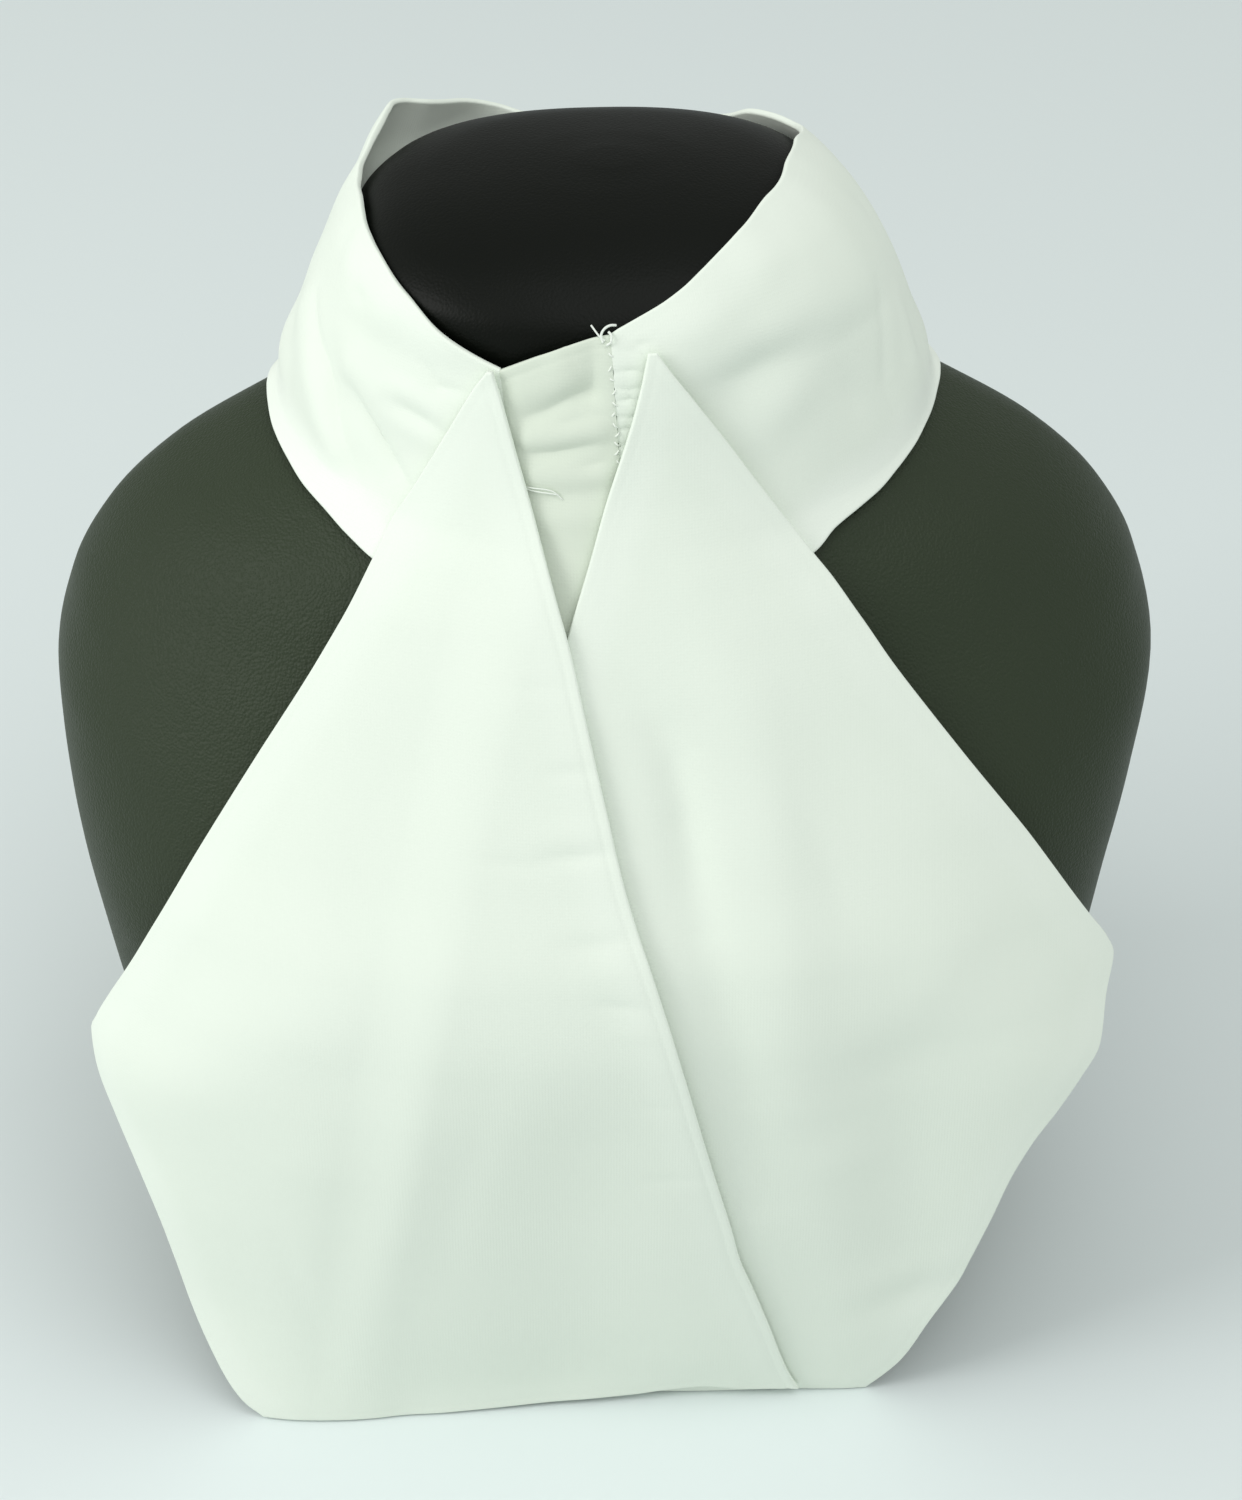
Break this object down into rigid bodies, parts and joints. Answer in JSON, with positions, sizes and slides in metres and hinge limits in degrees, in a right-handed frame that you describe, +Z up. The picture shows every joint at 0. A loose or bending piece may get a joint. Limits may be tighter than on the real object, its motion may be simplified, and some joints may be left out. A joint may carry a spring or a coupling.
{
  "type": "stock tie on necklace display bust",
  "caption": "Crisp white stock tie with a standing collar, gathered throat and crossed tails, shown on a smooth necklace display bust.",
  "frame": {"origin": "centre of the overall box, on the surface that the bust stands on", "axes": "+Z up, the front of the tie faces -Y, +X is the viewer's right seen from the front"},
  "size_m": [0.216, 0.139, 0.2404],
  "materials": {
    "cotton": "crisp plain weave, matt",
    "leatherette": "fine grained, soft sheen"
  },
  "bodies": {
    "root": {"display_bust": "leatherette", "collar_left": "cotton", "collar_right": "cotton", "throat_panel": "cotton", "tail_left": "cotton", "tail_right": "cotton"}
  },
  "joints": []
}
